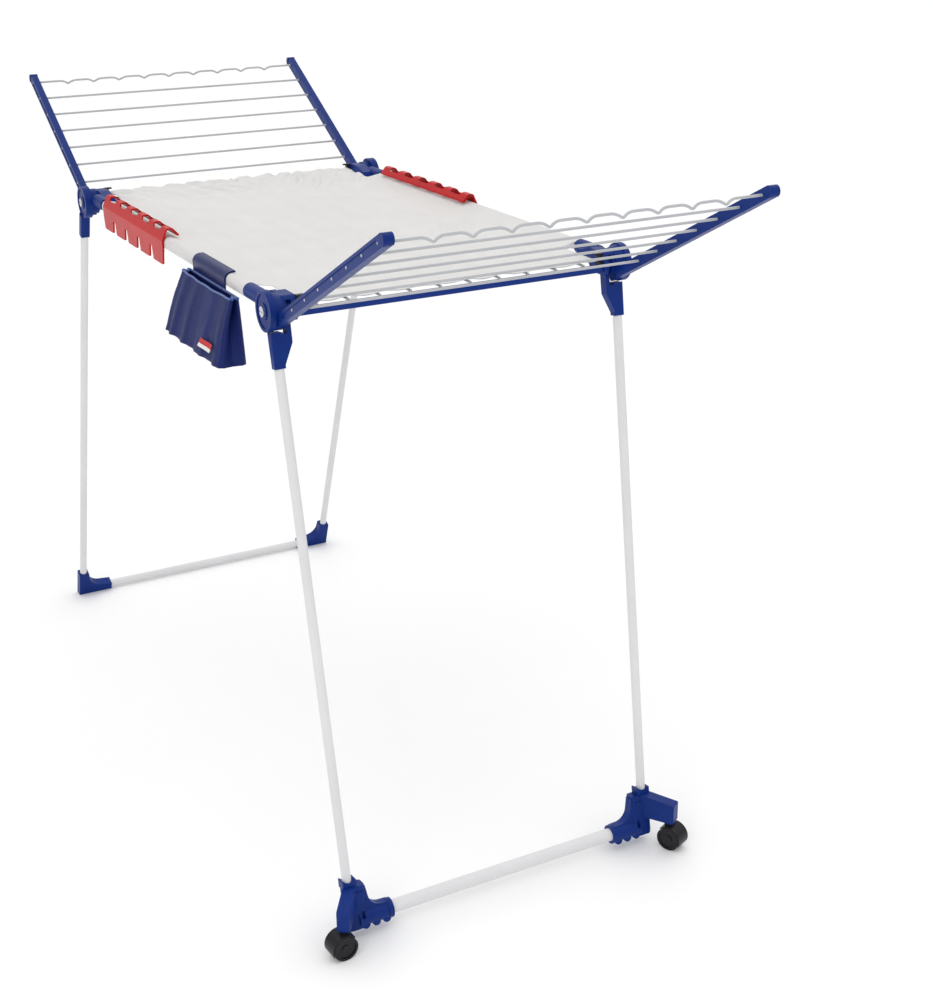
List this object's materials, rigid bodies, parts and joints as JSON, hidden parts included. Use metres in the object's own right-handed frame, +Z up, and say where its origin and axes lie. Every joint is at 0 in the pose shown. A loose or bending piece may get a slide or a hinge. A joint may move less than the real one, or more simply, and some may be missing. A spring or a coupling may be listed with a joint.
{
  "type": "clothes drying rack",
  "caption": "Folding floor rack for drying laundry: two tilting wings of rods, cloth-covered centre, splayed folding leg frames, casters at one end, clip-on holders and a peg bag.",
  "frame": {"origin": "middle of the footprint, on the floor", "axes": "+X towards the wheeled end, along the rack's length; +Y to the left when facing +X, across its width; +Z up"},
  "size_m": [1.7286, 0.6733, 1.1812],
  "materials": {
    "coated_rod": "light grey coating, satin",
    "pin_steel": "turned",
    "white_tube": "white powder coat, satin",
    "blue_profile": "blue coat, satin",
    "blue_arm": "moulded profile, satin",
    "blue_plastic": "moulded, fine grain",
    "cloth": "thin white woven cloth",
    "black_plastic": "moulded, semi-gloss",
    "wheel_plastic": "moulded, matte",
    "red_plastic": "moulded, gloss",
    "bag_nylon": "woven nylon",
    "clip_plastic": "moulded, satin",
    "label": "plain woven tag"
  },
  "bodies": {
    "centre_frame": {"centre_rods": "coated_rod", "cloth_hooks": "black_plastic", "corner_block_front_left": "blue_plastic", "corner_block_front_right": "blue_plastic", "corner_block_rear_left": "blue_plastic", "corner_block_rear_right": "blue_plastic", "cover_cloth": "cloth", "front_end_bar": "blue_profile", "hinge_pins": "pin_steel", "item_holder_left": "red_plastic", "item_holder_right": "red_plastic", "middle_bar": "white_tube", "peg_bag": "bag_nylon", "peg_bag_clip": "clip_plastic", "peg_bag_label": "label", "rear_end_bar": "blue_profile", "side_tube_left": "white_tube", "side_tube_right": "white_tube"},
    "front_wing": {"front_hanger_rod": "coated_rod", "front_wing_arm_left": "blue_arm", "front_wing_arm_right": "blue_arm", "front_wing_hub_left": "blue_plastic", "front_wing_hub_right": "blue_plastic", "front_wing_rods": "coated_rod", "front_wing_tips": "blue_plastic"},
    "rear_wing": {"rear_hanger_rod": "coated_rod", "rear_wing_arm_left": "blue_arm", "rear_wing_arm_right": "blue_arm", "rear_wing_hub_left": "blue_plastic", "rear_wing_hub_right": "blue_plastic", "rear_wing_rods": "coated_rod", "rear_wing_tips": "blue_plastic"},
    "front_legs": {"front_bottom_bar": "white_tube", "front_foot_left": "blue_plastic", "front_foot_right": "blue_plastic", "front_leg_sleeve_left": "blue_plastic", "front_leg_sleeve_right": "blue_plastic", "front_leg_tube_left": "white_tube", "front_leg_tube_right": "white_tube"},
    "rear_legs": {"rear_bottom_bar": "white_tube", "rear_foot_left": "blue_plastic", "rear_foot_right": "blue_plastic", "rear_leg_sleeve_left": "blue_plastic", "rear_leg_sleeve_right": "blue_plastic", "rear_leg_tube_left": "white_tube", "rear_leg_tube_right": "white_tube"},
    "caster_left": {"caster_left_axle": "pin_steel", "caster_left_hood": "black_plastic"},
    "caster_right": {"caster_right_axle": "pin_steel", "caster_right_hood": "black_plastic"},
    "left_wheel_a": {"caster_left_wheel_a": "wheel_plastic"},
    "left_wheel_b": {"caster_left_wheel_b": "wheel_plastic"},
    "right_wheel_a": {"caster_right_wheel_a": "wheel_plastic"},
    "right_wheel_b": {"caster_right_wheel_b": "wheel_plastic"}
  },
  "joints": [
    {"name": "front_wing_fold", "type": "hinge", "parent": "centre_frame", "child": "front_wing", "pos_m": [0.47249, 0, 0.98], "axis": [0, -1, 0], "range_deg": [0, 136]},
    {"name": "rear_wing_fold", "type": "hinge", "parent": "centre_frame", "child": "rear_wing", "pos_m": [-0.46751, 0, 0.98], "axis": [0, 1, 0], "range_deg": [0, 133]},
    {"name": "front_leg_fold", "type": "hinge", "parent": "centre_frame", "child": "front_legs", "pos_m": [0.47249, 0, 0.98], "axis": [0, 1, 0], "range_deg": [0, 80]},
    {"name": "rear_leg_fold", "type": "hinge", "parent": "centre_frame", "child": "rear_legs", "pos_m": [-0.46751, 0, 0.98], "axis": [0, -1, 0], "range_deg": [0, 88]},
    {"name": "caster_left_swivel", "type": "hinge", "parent": "front_legs", "child": "caster_left", "pos_m": [0.66157, 0.30246, 0.0479], "axis": [0, 0, 1], "continuous": true},
    {"name": "left_wheel_a_spin", "type": "hinge", "parent": "caster_left", "child": "left_wheel_a", "pos_m": [0.66701, 0.305, 0.0205], "axis": [-0.4226, 0.9063, 0], "continuous": true},
    {"name": "left_wheel_b_spin", "type": "hinge", "parent": "caster_left", "child": "left_wheel_b", "pos_m": [0.66701, 0.305, 0.0205], "axis": [-0.4226, 0.9063, 0], "continuous": true},
    {"name": "caster_right_swivel", "type": "hinge", "parent": "front_legs", "child": "caster_right", "pos_m": [0.66157, -0.30246, 0.0479], "axis": [0, 0, 1], "continuous": true},
    {"name": "right_wheel_a_spin", "type": "hinge", "parent": "caster_right", "child": "right_wheel_a", "pos_m": [0.66199, -0.30845, 0.0205], "axis": [0.9976, 0.0698, 0], "continuous": true},
    {"name": "right_wheel_b_spin", "type": "hinge", "parent": "caster_right", "child": "right_wheel_b", "pos_m": [0.66199, -0.30845, 0.0205], "axis": [0.9976, 0.0698, 0], "continuous": true}
  ]
}
